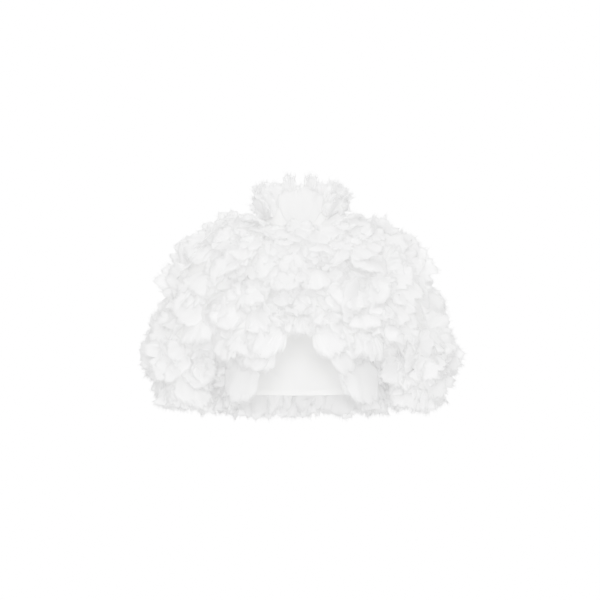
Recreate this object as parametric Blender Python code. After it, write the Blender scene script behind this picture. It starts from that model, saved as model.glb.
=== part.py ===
"""Cropped bolero: a raglan-cut shell, hollow as if worn, covered in rows of cloth petals.

Sizes are in millimetres and become metres when a piece is made. +Z is up, the fronts face -Y and the
wearer's left is +X. The origin is the middle of the neck opening, level with the shoulders' neck ends.

A place on the cloth is an angle and a level. The angle runs from centre front (0) round the left side
(90) to centre back (180), or once round a sleeve from its underarm seam. Level 0 is the neck seam, 1 the
underarm and 2 the hem and the cuffs.
"""

import math
from collections import namedtuple

import bmesh
import bpy
import numpy as np
from mathutils import Vector

MM = 0.001

# Cloth and seams
WALL = 2.0
SEAM_GAP = 0.3
COLLAR_GAP = 0.5
PETAL_WALL = 1.8
PETAL_GAP = 0.7
SLEEVE_PETAL_GAP = 1.3  # a strip's straight runs need more room where a sleeve turns sharply

# The neck-to-underarm rings, one row for each sixth of the way
YokeRing = namedtuple("YokeRing", "half_width front back z_front z_side z_back")
YOKE = [
    YokeRing(64, 58, 60, -14, 0, 8),
    YokeRing(110, 84, 84, -36, -3, -14),
    YokeRing(150, 102, 100, -64, -15, -46),
    YokeRing(184, 114, 111, -95, -39, -82),
    YokeRing(209, 121, 117, -128, -80, -120),
    YokeRing(226, 125, 119, -162, -136, -158),
    YokeRing(242, 126, 119, -196, -196, -196),
]
RAGLAN_NECK = math.radians(62)

# From the underarm down
DROP = 124
SIDE_X = 160
HEM_SIDE_X = 154
ARMHOLE_END = 1.28
TorsoRing = namedtuple("TorsoRing", "level front back")
TORSO = [TorsoRing(1, 126, 119), TorsoRing(1.5, 122, 114), TorsoRing(2, 118, 110)]
SleeveRing = namedtuple("SleeveRing", "level outer inner front back")
SLEEVE = [
    SleeveRing(1, 242, SIDE_X, 126, 119),
    SleeveRing(1.042, 244, SIDE_X, 99, 95),
    SleeveRing(1.09, 247, SIDE_X, 88, 86),
    SleeveRing(1.14, 249, SIDE_X, 84, 84),
    SleeveRing(ARMHOLE_END, 255, SIDE_X, 82, 82),
    SleeveRing(1.5, 259, 163, 82, 82),
    SleeveRing(2, 250, 168, 80, 80),
]
CutAway = namedtuple("CutAway", "level half_gap")
CUT_AWAY = [
    CutAway(1.04, 0),
    CutAway(1.06, 12),
    CutAway(1.10, 22),
    CutAway(1.30, 45),
    CutAway(1.50, 66),
    CutAway(1.65, 83),
    CutAway(1.80, 92),
    CutAway(2.00, 97),
]

# The stand collar
COLLAR_TOP = 62
COLLAR_TOP_HALF_WIDTH = 56
COLLAR_TOP_FRONT = 50
COLLAR_TOP_BACK = 54

# How finely each panel is drawn
YOKE_LEVELS = [0, 0.12, 0.25, 0.4, 0.55, 0.7, 0.85]
LOWER_LEVELS = [1, 1.042, 1.09, 1.14, 1.21, ARMHOLE_END, 1.45, 1.6, 1.8, 2]
PANEL_LEVELS = YOKE_LEVELS + LOWER_LEVELS
BACK_COLUMNS = 16
FRONT_COLUMNS = 8
SLEEVE_COLUMNS = 16
COLLAR_COLUMNS = 28
COLLAR_ROWS = 3

# A petal's own form, at its root, its two middle stations and its tip
Station = namedtuple("Station", "along width rise")
PETAL = [
    Station(0.0, 0.90, 0.00),
    Station(0.33, 0.98, 0.60),
    Station(0.68, 0.96, 0.92),
    Station(1.0, 0.60, 1.00),
]
HEM_PETAL = [
    Station(0.0, 0.90, 0.00),
    Station(0.33, 0.98, 0.85),
    Station(0.68, 0.96, 1.00),
    Station(1.0, 0.60, 0.50),
]
FRONT_PETAL = [
    Station(0.0, 0.34, 0.00),
    Station(0.33, 0.70, 0.75),
    Station(0.68, 0.95, 1.00),
    Station(1.0, 0.78, 0.80),
]
PETAL_COLUMNS = 3
STRIP_LEVEL = 0.03
TIP_ROUNDING = 0.16
CUP = 0.25
UNEVEN = 0.10  # how far a petal's length and lift stray, as a share
UNEVEN_PER_PETAL = 2.4
UNEVEN_PER_LEVEL = 9

# Rows of petals: start and end are angles in degrees, reach is in levels, lift is in millimetres
PetalRow = namedtuple("PetalRow", "level start end petals reach lift")
YOKE_ROWS = [
    PetalRow(0.06, 1, 359, 8, 0.24, 30),
    PetalRow(0.25, 1, 359, 12, 0.25, 34),
    PetalRow(0.44, 1, 359, 14, 0.25, 36),
    PetalRow(0.63, 1, 359, 18, 0.25, 38),
    PetalRow(0.82, 1, 359, 20, 0.30, 40),
]
SLEEVE_ROWS = [
    PetalRow(1.12, 88, 272, 5, 0.42, 46),
    PetalRow(1.44, 52, 308, 6, 0.42, 34),
]
SLEEVE_HEM = PetalRow(1.76, 52, 308, 6, 0.48, 20)
BACK_ROWS = [
    PetalRow(1.12, 142, 218, 5, 0.42, 32),
    PetalRow(1.44, 128, 232, 5, 0.42, 30),
]
BACK_HEM = PetalRow(1.76, 126, 234, 6, 0.57, 18)
FRONT_ROWS = [
    PetalRow(1.14, 7, 45, 2, 0.40, 30),
    PetalRow(1.44, 23, 55, 2, 0.40, 28),
]
FRONT_HEM = PetalRow(1.74, 34, 60, 1, 0.36, 22)
COLLAR_LOWER = PetalRow(-0.45, 56, 304, 8, -0.26, 38)
COLLAR_UPPER = PetalRow(-0.84, 44, 169, 4, -0.34, 36)
COLLAR_CROWN = PetalRow(-0.84, 8, 42, 1, -0.60, 12)
COLLAR_FRONT = PetalRow(-0.06, -52, 52, 1, -0.92, 11)

CLOTH_COLOUR = (0.86, 0.86, 0.85, 1)
PETAL_COLOUR = (0.92, 0.92, 0.92, 1)
CLOTH_ROUGHNESS = 0.85
SHARP_EDGE = math.radians(40)
SLOPE_STEP = 1e-3  # the angle or level step over which a surface's slope is measured


def column(rows, field):
    return [getattr(row, field) for row in rows]


def at_level(rows, field, level):
    """One column of a table that is keyed by level, read straight between its rows."""
    return float(np.interp(level, column(rows, "level"), column(rows, field)))


def yoke_ring(level):
    """The ring at a level from 0 to 1, on a smooth curve through the rows of the yoke table."""
    last = len(YOKE) - 1
    position = min(max(level, 0), 1) * last
    first = min(int(position), last - 1)
    t = position - first
    near = [YOKE[min(max(first + step, 0), last)] for step in (-1, 0, 1, 2)]
    weights = (
        -(t**3) + 2 * t**2 - t,
        3 * t**3 - 5 * t**2 + 2,
        -3 * t**3 + 4 * t**2 + t,
        t**3 - t**2,
    )
    return YokeRing(*(np.dot(weights, values) / 2 for values in zip(*near)))


def height_below_underarm(level):
    return YOKE[-1].z_side - (level - 1) * DROP


def yoke_point(angle, level):
    """A place on the shoulders; past the underarm the last ring hangs straight down."""
    ring = yoke_ring(level)
    to_front = math.cos(angle)
    depth = ring.front if to_front > 0 else ring.back
    z_middle = ring.z_front if to_front > 0 else ring.z_back
    z = ring.z_side + (z_middle - ring.z_side) * to_front**2
    if level > 1:
        z = height_below_underarm(level)
    return Vector((ring.half_width * math.sin(angle), -depth * to_front, z))


def armhole_angle(level):
    """The sleeve angle at which the armhole seam stands; it closes to 0 under the arm."""
    open_angle = math.pi - math.acos(SIDE_X / YOKE[-1].half_width)
    share = min(max((level - 1) / (ARMHOLE_END - 1), 0), 1)
    return open_angle * (1 - share)


def seam_depth(level, side):
    """How far the armhole seam stands before or behind the side, for side "front" or "back"."""
    return at_level(SLEEVE, side, level) * math.sin(armhole_angle(level))


def side_angle(level, side):
    """The angle at which a front or half back ends: at its raglan, armhole or side seam."""
    underarm = math.asin(SIDE_X / YOKE[-1].half_width)
    if level <= 1:
        return RAGLAN_NECK + (underarm - RAGLAN_NECK) * level
    return math.acos(seam_depth(level, side) / at_level(TORSO, side, level))


def torso_point(angle, level):
    """A place on the body below the underarm."""
    to_front = math.cos(angle)
    side = "front" if to_front > 0 else "back"
    below = max((level - ARMHOLE_END) / (2 - ARMHOLE_END), 0)
    side_x = SIDE_X + (HEM_SIDE_X - SIDE_X) * min(below, 1)
    half_width = side_x / math.sin(side_angle(level, side))
    depth = at_level(TORSO, side, level)
    return Vector((half_width * math.sin(angle), -depth * to_front, height_below_underarm(level)))


def body_point(angle, level):
    return yoke_point(angle, level) if level <= 1 else torso_point(angle, level)


def sleeve_tube(angle, level):
    """A place on a left sleeve below the underarm."""
    outer = at_level(SLEEVE, "outer", level)
    inner_share = math.cos(armhole_angle(level))
    centre = (at_level(SLEEVE, "inner", level) + inner_share * outer) / (1 + inner_share)
    depth = at_level(SLEEVE, "front" if math.sin(angle) > 0 else "back", level)
    x = centre - (outer - centre) * math.cos(angle)
    return Vector((x, -depth * math.sin(angle), height_below_underarm(level)))


def sleeve_point(angle, level):
    return yoke_point(angle - math.pi / 2, level) if level <= 1 else sleeve_tube(angle, level)


def collar_point(angle, level):
    """A place on the stand collar, with level 0 at the neck seam and -1 at its top edge."""
    base = yoke_point(angle, 0)
    to_front = math.cos(angle)
    top_depth = COLLAR_TOP_FRONT if to_front > 0 else COLLAR_TOP_BACK
    top = Vector((COLLAR_TOP_HALF_WIDTH * math.sin(angle), -top_depth * to_front, COLLAR_TOP))
    return base.lerp(top, -level)


def hanging(surface, ring_level):
    """The surface down to one of its rings, and straight down from there."""

    def point(angle, level):
        at = surface(angle, min(level, ring_level))
        at.z = height_below_underarm(level)
        return at

    return point


def outward(surface, angle, level):
    """The unit normal of a surface, away from the wearer."""
    down = surface(angle, level + SLOPE_STEP) - surface(angle, level - SLOPE_STEP)
    along_ring = surface(angle + SLOPE_STEP, level) - surface(angle - SLOPE_STEP, level)
    return down.cross(along_ring).normalized()


def lay(surface, angle, level, height):
    """A place that stands off a surface by a height."""
    return surface(angle, level) + height * outward(surface, angle, level)


def gap_angle(surface, angle, level):
    """Half a seam gap as an angle."""
    along_ring = surface(angle + SLOPE_STEP, level) - surface(angle - SLOPE_STEP, level)
    return SEAM_GAP / 2 / along_ring.length * 2 * SLOPE_STEP


def even_angles(surface, row, count=200):
    """Shares of a row's length, and the angle at each, so that petals can be spaced evenly."""
    angles = np.linspace(math.radians(row.start), math.radians(row.end), count)
    places = [surface(angle, row.level) for angle in angles]
    steps = [(b - a).length for a, b in zip(places, places[1:])]
    lengths = np.concatenate([[0], np.cumsum(steps)])
    return lengths / lengths[-1], angles


def cloth_piece(name, columns, rows, place, material, side=1, is_gap=None):
    """Draw a flat grid, double it into a wall, and lay each point where place(column, row, layer) says."""
    bm = bmesh.new()
    bmesh.ops.create_grid(bm, x_segments=columns, y_segments=rows, size=1)
    for vert in bm.verts:
        vert.co.x = round((vert.co.x + 1) / 2 * columns)
        vert.co.y = round((vert.co.y + 1) / 2 * rows)
    if is_gap:
        middles = {face: face.calc_center_median() for face in bm.faces}
        gaps = [face for face, middle in middles.items() if is_gap(int(middle.x), int(middle.y))]
        bmesh.ops.delete(bm, geom=gaps, context="FACES")
    doubled = bmesh.ops.extrude_face_region(bm, geom=bm.faces[:], use_keep_orig=True)
    for item in doubled["geom"]:
        if isinstance(item, bmesh.types.BMVert):
            item.co.z = 1
    for vert in bm.verts:
        at = place(round(vert.co.x), round(vert.co.y), round(vert.co.z))
        vert.co = Vector((side * at.x, at.y, at.z)) * MM
    bmesh.ops.recalc_face_normals(bm, faces=bm.faces[:])
    if bm.calc_volume(signed=True) < 0:
        bmesh.ops.reverse_faces(bm, faces=bm.faces[:])
    mesh = bpy.data.meshes.new(name)
    bm.to_mesh(mesh)
    bm.free()
    mesh.materials.append(material)
    mesh.shade_smooth()
    mesh.set_sharp_from_angle(angle=SHARP_EDGE)
    piece = bpy.data.objects.new(name, mesh)
    bolero.objects.link(piece)
    return piece


def panel(name, surface, columns, edges, side=1):
    """A cloth wall between the two angles that edges(level) gives, from the neck to the hem."""

    def place(i, j, layer):
        level = PANEL_LEVELS[j]
        first, last = edges(level)
        first += gap_angle(surface, first, level)
        last -= gap_angle(surface, last, level)
        angle = first + (last - first) * i / columns
        return lay(surface, angle, level, -WALL * layer)

    material = cloth_material(name + "_cloth", CLOTH_COLOUR)
    return cloth_piece(name, columns, len(PANEL_LEVELS) - 1, place, material, side)


def petal_row(name, surface, row, form=PETAL, side=1, gap=PETAL_GAP):
    """A strip along a panel with petals hanging from it, each lifted off the cloth and cupped."""
    shares, angles = even_angles(surface, row)
    cells = PETAL_COLUMNS + 1

    def place(i, j, layer):
        petal, step = divmod(i, cells)
        from_end = min(petal, row.petals - 1 - petal)
        uneven = UNEVEN * math.sin(UNEVEN_PER_PETAL * from_end + UNEVEN_PER_LEVEL * row.level)
        across = 2 * step / PETAL_COLUMNS - 1
        station = form[max(j - 1, 0)]
        share = (petal + 0.5 + across * station.width / 2) / row.petals
        angle = np.interp(share, shares, angles)
        along = station.along * (1 - TIP_ROUNDING * across**2 * station.along)
        level = row.level + row.reach * (1 + uneven) * along
        if j == 0:
            level -= math.copysign(STRIP_LEVEL, row.reach)
        rise = row.lift * (1 - uneven) * station.rise * (1 - CUP * across**2)
        return lay(surface, angle, level, gap + rise + PETAL_WALL * layer)

    def is_gap(i, j):
        return i % cells == PETAL_COLUMNS and j > 0

    material = cloth_material(name + "_cloth", PETAL_COLOUR)
    return cloth_piece(name, row.petals * cells - 1, len(form), place, material, side, is_gap)


def cloth_material(name, colour):
    material = bpy.data.materials.new(name)
    material.use_nodes = True
    shader = material.node_tree.nodes["Principled BSDF"]
    shader.inputs["Base Color"].default_value = colour
    shader.inputs["Roughness"].default_value = CLOTH_ROUGHNESS
    shader.inputs["Metallic"].default_value = 0
    material.diffuse_color = colour
    return material


def front_edges(level):
    half_gap = at_level(CUT_AWAY, "half_gap", level)
    half_width = body_point(math.pi / 2, level).x
    return math.asin(half_gap / half_width), side_angle(level, "front")


def back_edges(level):
    end = side_angle(level, "back")
    return math.pi - end, math.pi + end


def sleeve_edges(level):
    if level <= 1:
        front = side_angle(level, "front") + math.pi / 2
        return front, math.tau - front
    return armhole_angle(level), math.tau - armhole_angle(level)


def make_collar():
    end = gap_angle(collar_point, 0, 0)

    def place(i, j, layer):
        angle = end + (math.tau - 2 * end) * i / COLLAR_COLUMNS
        at = lay(collar_point, angle, -j / COLLAR_ROWS, -WALL * layer)
        return at + Vector((0, 0, COLLAR_GAP))

    material = cloth_material("collar_cloth", CLOTH_COLOUR)
    return cloth_piece("collar", COLLAR_COLUMNS, COLLAR_ROWS, place, material)


for old in list(bpy.data.objects):
    bpy.data.objects.remove(old)
bolero = bpy.data.collections.new("cropped_bolero")
bpy.context.scene.collection.children.link(bolero)

# Panels
panel("back", body_point, BACK_COLUMNS, back_edges)
make_collar()
for word, side in (("left", 1), ("right", -1)):
    panel("front_" + word, body_point, FRONT_COLUMNS, front_edges, side)
    panel("sleeve_" + word, sleeve_point, SLEEVE_COLUMNS, sleeve_edges, side)

# Petals
for number, row in enumerate(YOKE_ROWS, 1):
    petal_row(f"yoke_petals_{number}", yoke_point, row)
for number, row in enumerate(BACK_ROWS, 1):
    petal_row(f"back_petals_{number}", hanging(torso_point, row.level), row)
petal_row("back_petals_hem", torso_point, BACK_HEM, HEM_PETAL)
petal_row("collar_petals_lower", collar_point, COLLAR_LOWER)
petal_row("collar_petal_front", collar_point, COLLAR_FRONT, FRONT_PETAL)
for word, side in (("left", 1), ("right", -1)):
    for number, row in enumerate(SLEEVE_ROWS, 1):
        surface = hanging(sleeve_tube, row.level)
        petal_row(f"sleeve_petals_{word}_{number}", surface, row, PETAL, side, SLEEVE_PETAL_GAP)
    petal_row(f"sleeve_petals_{word}_hem", sleeve_tube, SLEEVE_HEM, HEM_PETAL, side, SLEEVE_PETAL_GAP)
    for number, row in enumerate(FRONT_ROWS, 1):
        surface = hanging(torso_point, row.level)
        petal_row(f"front_petals_{word}_{number}", surface, row, PETAL, side)
    petal_row(f"front_petal_{word}_hem", torso_point, FRONT_HEM, HEM_PETAL, side)
    petal_row("collar_petals_upper_" + word, collar_point, COLLAR_UPPER, PETAL, side)
    petal_row("collar_petal_crown_" + word, collar_point, COLLAR_CROWN, PETAL, side)
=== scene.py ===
# %% [markdown]
# # A cropped bolero covered in cloth petals
# The bolero is a plain white raglan jacket, cut off above the waist, with hundreds of sheer petals sewn over
# it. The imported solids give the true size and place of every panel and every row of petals, so this lesson
# loads them first. Each new piece is then made over the solid that it stands for, and nothing has to be
# fitted by eye.

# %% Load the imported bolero
import math

import bmesh
import bpy
import numpy as np
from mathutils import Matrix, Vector
from mathutils.bvhtree import BVHTree


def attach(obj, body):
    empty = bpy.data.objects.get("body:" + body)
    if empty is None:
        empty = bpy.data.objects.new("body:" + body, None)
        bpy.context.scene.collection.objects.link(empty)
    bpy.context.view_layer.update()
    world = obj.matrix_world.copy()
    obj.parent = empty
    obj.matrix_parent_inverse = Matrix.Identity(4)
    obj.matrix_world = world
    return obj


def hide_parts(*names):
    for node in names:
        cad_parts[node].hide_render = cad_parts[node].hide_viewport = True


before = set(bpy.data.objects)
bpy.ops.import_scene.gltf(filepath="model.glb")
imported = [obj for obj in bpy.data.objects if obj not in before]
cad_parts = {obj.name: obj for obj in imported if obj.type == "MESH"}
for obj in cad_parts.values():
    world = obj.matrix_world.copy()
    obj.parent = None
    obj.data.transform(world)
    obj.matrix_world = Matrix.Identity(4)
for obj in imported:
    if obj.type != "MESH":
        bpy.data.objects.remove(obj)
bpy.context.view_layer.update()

MM = 0.001

# %% [markdown]
# The camera looks straight at the fronts, level with the chest. A long lens far away flattens the view, as a
# catalogue picture does: its distance follows from the size of the frame, 600 pixels of 1.85 mm.

# %% Camera
scene = bpy.context.scene
MM_PER_PIXEL, FRAME_PIXELS = 1.85, 600
LENS, SENSOR = 135.0, 36.0
FRAME_MIDDLE_Z, SCALE_PLANE_Y = -0.1443, -0.03
camera = bpy.data.objects.new("camera", bpy.data.cameras.new("camera"))
camera.data.lens, camera.data.sensor_width = LENS, SENSOR
camera_distance = FRAME_PIXELS * MM_PER_PIXEL * MM * LENS / SENSOR
camera.location = (0, SCALE_PLANE_Y - camera_distance, FRAME_MIDDLE_Z)
camera.rotation_euler = (math.radians(90), 0, 0)
scene.collection.objects.link(camera)
scene.camera = camera
print("camera is", round(camera_distance, 2), "m away")

# %% [markdown]
# White cloth on white needs light from all sides, or its hollows turn grey. Softboxes in front, above and
# behind light the petals, and a weaker white world fills their shade. The camera sees that world at full
# white, as a backdrop. Light goes from petal to petal many times before it leaves white cloth, so more
# bounces are allowed than usual. The Standard view keeps white as white, and its gamma lifts the greys, as
# the pale exposure of a catalogue picture does.

# %% Light
PALE_GAMMA = 3.1
FILL_STRENGTH, BACKDROP_STRENGTH = 0.45, 1.0
scene.view_settings.view_transform = "Standard"
scene.view_settings.gamma = PALE_GAMMA
scene.cycles.diffuse_bounces, scene.cycles.transmission_bounces, scene.cycles.max_bounces = 16, 24, 32
world = bpy.data.worlds.new("white_studio")
world.use_nodes = True
tree = world.node_tree
seen, strength = tree.nodes.new("ShaderNodeLightPath"), tree.nodes.new("ShaderNodeMapRange")
strength.inputs["To Min"].default_value = FILL_STRENGTH
strength.inputs["To Max"].default_value = BACKDROP_STRENGTH
tree.nodes["Background"].inputs["Color"].default_value = (1, 1, 1, 1)
tree.links.new(seen.outputs["Is Camera Ray"], strength.inputs["Value"])
tree.links.new(strength.outputs["Result"], tree.nodes["Background"].inputs["Strength"])
scene.world = world


def softbox(name, place, aim, size, watts):
    """A square soft light at one place that looks at another."""
    light = bpy.data.lights.new(name, "AREA")
    light.shape, light.size, light.energy = "SQUARE", size, watts
    box = bpy.data.objects.new(name, light)
    box.location = place
    box.rotation_euler = (Vector(aim) - Vector(place)).to_track_quat("-Z", "Y").to_euler()
    scene.collection.objects.link(box)


CHEST, SHOULDERS = (0, 0, -0.14), (0, 0, -0.1)
softbox("front_softbox", (0, -3.2, 0.25), CHEST, 0.7, 52)
softbox("top_softbox", (0, -1.3, 2.5), SHOULDERS, 1.6, 30)
softbox("back_softbox", (0, 3.2, 0.8), CHEST, 1.2, 40)
print("fill", FILL_STRENGTH, "and 3 softboxes")

# %% [markdown]
# The floor is a plain pale disc below the bolero, which hangs as if worn. A disc is one circle operator with
# its middle filled, and a faint noise keeps its colour from being dead flat.

# %% Floor
FLOOR_Z, FLOOR_RADIUS = -1.05, 2.2
FLOOR_DARK, FLOOR_PALE, FLOOR_ROUGHNESS = 0.93, 0.96, 0.9
floor_mesh = bpy.data.meshes.new("studio_floor")
bm = bmesh.new()
bmesh.ops.create_circle(bm, cap_ends=True, segments=96, radius=FLOOR_RADIUS)
bmesh.ops.translate(bm, verts=bm.verts, vec=(0, 0, FLOOR_Z))
bm.to_mesh(floor_mesh)
bm.free()
floor = bpy.data.objects.new("studio_floor", floor_mesh)
scene.collection.objects.link(floor)
floor_paint = bpy.data.materials.new("studio_floor_paint")
floor_paint.use_nodes = True
nodes, links = floor_paint.node_tree.nodes, floor_paint.node_tree.links
noise, ramp = nodes.new("ShaderNodeTexNoise"), nodes.new("ShaderNodeMapRange")
noise.inputs["Scale"].default_value = 3
ramp.inputs["To Min"].default_value = FLOOR_DARK
ramp.inputs["To Max"].default_value = FLOOR_PALE
links.new(nodes.new("ShaderNodeTexCoord").outputs["Object"], noise.inputs["Vector"])
links.new(noise.outputs["Fac"], ramp.inputs["Value"])
links.new(ramp.outputs["Result"], nodes["Principled BSDF"].inputs["Base Color"])
nodes["Principled BSDF"].inputs["Roughness"].default_value = FLOOR_ROUGHNESS
floor_mesh.materials.append(floor_paint)
print("floor at", FLOOR_Z)

# %% [markdown]
# Both cloths are plain weaves: threads go over and under in turn. The product of two sine waves across the
# cloth's own flat coordinates is such a chequer of raised threads. It is a node group, because the backing
# and the petals both use it, each with its own thread count.


# %% Weave, a shared effect
def shader_group(name, inputs, outputs):
    """A new shader node group with named value or vector sockets, and its two ends."""
    group = bpy.data.node_groups.new(name, "ShaderNodeTree")
    for label, kind in inputs:
        group.interface.new_socket(label, in_out="INPUT", socket_type=kind)
    for label, kind in outputs:
        group.interface.new_socket(label, in_out="OUTPUT", socket_type=kind)
    return group, group.nodes.new("NodeGroupInput"), group.nodes.new("NodeGroupOutput")


def math_node(tree, operation, first, second):
    """A math node whose two inputs are sockets or plain numbers."""
    node = tree.nodes.new("ShaderNodeMath")
    node.operation = operation
    for socket, value in zip(node.inputs, (first, second)):
        if isinstance(value, (int, float)):
            socket.default_value = value
        else:
            tree.links.new(value, socket)
    return node.outputs[0]


ROUGHNESS, ROUGHNESS_SWING = 0.72, -0.05
weave, start, end = shader_group(
    "plain_weave",
    [("Flat cloth", "NodeSocketVector"), ("Threads per metre", "NodeSocketFloat")],
    [("Height", "NodeSocketFloat"), ("Roughness", "NodeSocketFloat")])
split = weave.nodes.new("ShaderNodeSeparateXYZ")
weave.links.new(start.outputs["Flat cloth"], split.inputs[0])
turns = math_node(weave, "MULTIPLY", start.outputs["Threads per metre"], 2 * math.pi)
warp = math_node(weave, "SINE", math_node(weave, "MULTIPLY", split.outputs["X"], turns), 0)
weft = math_node(weave, "SINE", math_node(weave, "MULTIPLY", split.outputs["Y"], turns), 0)
over_under = math_node(weave, "MULTIPLY", warp, weft)
weave.links.new(math_node(weave, "MULTIPLY", over_under, 0.5), end.inputs["Height"])
swing = math_node(weave, "MULTIPLY", over_under, ROUGHNESS_SWING)
weave.links.new(math_node(weave, "ADD", swing, ROUGHNESS), end.inputs["Roughness"])
print("weave group with", len(weave.nodes), "nodes")

# %% [markdown]
# No white cloth is one even white: thickness, handling and the dye change it a little from place to place. A
# slow noise on the object's own coordinates gives that, again as a group that both cloths share.

# %% Uneven white, a shared effect
uneven, start, end = shader_group(
    "uneven_white",
    [("Patch size", "NodeSocketFloat"), ("Spread", "NodeSocketFloat")],
    [("Tone", "NodeSocketFloat")])
patches = uneven.nodes.new("ShaderNodeTexNoise")
patches.inputs["Detail"].default_value = 4
uneven.links.new(uneven.nodes.new("ShaderNodeTexCoord").outputs["Object"], patches.inputs["Vector"])
uneven.links.new(math_node(uneven, "DIVIDE", 1.0, start.outputs["Patch size"]), patches.inputs["Scale"])
off_grey = math_node(uneven, "SUBTRACT", patches.outputs["Fac"], 0.5)
swing = math_node(uneven, "MULTIPLY", off_grey, start.outputs["Spread"])
uneven.links.new(math_node(uneven, "ADD", swing, 0.5), end.inputs["Tone"])
print("uneven white group with", len(uneven.nodes), "nodes")

# %% [markdown]
# A sheer petal is gathered at its root, and fine creases run from there to its rim like the rays of a fan.
# They could be modelled, but they are finer than any mesh that hundreds of petals can afford, so they are a
# noise in the cloth's own polar coordinates, narrow across the rays and long along them. The place on the
# bolero shifts it from petal to petal. The noise raises the creases as a bump. In the cloth's colour it is
# painted crease shade and light: darker and paler rays where the creases would fall in shade or catch light.

# %% Gathered streaks, a shared effect: crease bump and painted crease shade
RAY_FINENESS, RAY_LENGTH, RAY_SHIFT, RAY_CONTRAST = 25, 0.025, 16, 2.2
streaks, start, end = shader_group(
    "gathered_streaks", [("Flat cloth", "NodeSocketVector")], [("Tone", "NodeSocketFloat")])
flat_parts, place_parts = (streaks.nodes.new("ShaderNodeSeparateXYZ") for _ in range(2))
streaks.links.new(start.outputs["Flat cloth"], flat_parts.inputs[0])
streaks.links.new(streaks.nodes.new("ShaderNodeTexCoord").outputs["Object"], place_parts.inputs[0])
ray = math_node(streaks, "ARCTAN2", flat_parts.outputs["X"], flat_parts.outputs["Y"])
place_sum = math_node(streaks, "ADD", place_parts.outputs["X"], place_parts.outputs["Z"])
fan_place, rays = streaks.nodes.new("ShaderNodeCombineXYZ"), streaks.nodes.new("ShaderNodeTexNoise")
rays.inputs["Scale"].default_value, rays.inputs["Detail"].default_value = 1, 3
fan_axes = (
    ("X", ray, RAY_FINENESS),
    ("Y", flat_parts.outputs["Y"], 1 / RAY_LENGTH),
    ("Z", place_sum, RAY_SHIFT),
)
for socket, value, scale in fan_axes:
    streaks.links.new(math_node(streaks, "MULTIPLY", value, scale), fan_place.inputs[socket])
streaks.links.new(fan_place.outputs[0], rays.inputs["Vector"])
off_grey = math_node(streaks, "SUBTRACT", rays.outputs["Fac"], 0.5)
contrast = math_node(streaks, "MULTIPLY", off_grey, RAY_CONTRAST)
streaks.links.new(math_node(streaks, "ADD", contrast, 0.5), end.inputs["Tone"])
print("gathered streaks group with", len(streaks.nodes), "nodes")

# %% [markdown]
# A cloth material joins the effects: the tone picks between two near whites, and the weave gives roughness
# and bump. Petals add the streaks, as bump and as painted crease shade in the colour. Their raw edges also
# get a painted highlight and their gathered roots painted shade, from an attribute on the mesh, named rim,
# that runs from root to edge. Thin cloth also lets light through from behind, so a Translucent shader is
# mixed in.
# Organza piles up to white, but a petal that lies alone shows some of the shade behind it, and that shade is
# painted into greyer whites.

# %% Cloth materials
# The streak share is painted crease shade in the colour. The rim share paints the rims light and the roots in
# shade.
TONE_SHARE, CREASE_SHADE_SHARE, RIM_LIGHT_ROOT_SHADE_SHARE, STREAK_HEIGHT = 0.3, 0.5, 0.3, 6
BUMP_STRENGTH, SHEEN_ROUGHNESS, SPECULAR = 0.4, 0.4, 0.25


def cloth(name, dark, light, threads, weave_depth, patch, spread, sheen, through, raw_edge):
    """A woven cloth of two whites: weave, uneven tone, sheen, light let through; raw edges add painted shade
    and light.
    """
    material = bpy.data.materials.new(name)
    material.use_nodes = True
    tree = material.node_tree
    nodes, links = tree.nodes, tree.links
    surface = nodes["Principled BSDF"]
    flat = nodes.new("ShaderNodeUVMap")
    flat.uv_map = "flat_cloth"
    threads_node, tone = nodes.new("ShaderNodeGroup"), nodes.new("ShaderNodeGroup")
    threads_node.node_tree, tone.node_tree = weave, uneven
    links.new(flat.outputs["UV"], threads_node.inputs["Flat cloth"])
    threads_node.inputs["Threads per metre"].default_value = threads
    tone.inputs["Patch size"].default_value, tone.inputs["Spread"].default_value = patch, spread
    whites = nodes.new("ShaderNodeMix")
    whites.data_type = "RGBA"
    whites.inputs["A"].default_value, whites.inputs["B"].default_value = (*dark, 1), (*light, 1)
    share, height = tone.outputs["Tone"], threads_node.outputs["Height"]
    # Raw edges: the streaks paint crease shade into the colour, and the rim attribute paints a highlight at
    # the rim and shade at the root.
    if raw_edge:
        rim, gathers = nodes.new("ShaderNodeAttribute"), nodes.new("ShaderNodeGroup")
        rim.attribute_name, gathers.node_tree = "rim", streaks
        links.new(flat.outputs["UV"], gathers.inputs["Flat cloth"])
        share = math_node(tree, "MULTIPLY", share, TONE_SHARE)
        for source, part in ((gathers.outputs["Tone"], CREASE_SHADE_SHARE), (rim.outputs["Fac"], RIM_LIGHT_ROOT_SHADE_SHARE)):
            share = math_node(tree, "ADD", share, math_node(tree, "MULTIPLY", source, part))
        creases = math_node(tree, "MULTIPLY", gathers.outputs["Tone"], STREAK_HEIGHT)
        height = math_node(tree, "ADD", height, creases)
    links.new(share, whites.inputs["Factor"])
    links.new(whites.outputs["Result"], surface.inputs["Base Color"])
    links.new(threads_node.outputs["Roughness"], surface.inputs["Roughness"])
    bump = nodes.new("ShaderNodeBump")
    bump.inputs["Strength"].default_value = BUMP_STRENGTH
    bump.inputs["Distance"].default_value = weave_depth
    links.new(height, bump.inputs["Height"])
    links.new(bump.outputs["Normal"], surface.inputs["Normal"])
    surface.inputs["Sheen Weight"].default_value = sheen
    surface.inputs["Sheen Roughness"].default_value = SHEEN_ROUGHNESS
    surface.inputs["Specular IOR Level"].default_value = SPECULAR
    glow, both = nodes.new("ShaderNodeBsdfTranslucent"), nodes.new("ShaderNodeMixShader")
    glow.inputs["Color"].default_value = (*light, 1)
    both.inputs[0].default_value = through
    links.new(surface.outputs[0], both.inputs[1])
    links.new(glow.outputs[0], both.inputs[2])
    links.new(both.outputs[0], nodes["Material Output"].inputs["Surface"])
    return material


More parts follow.
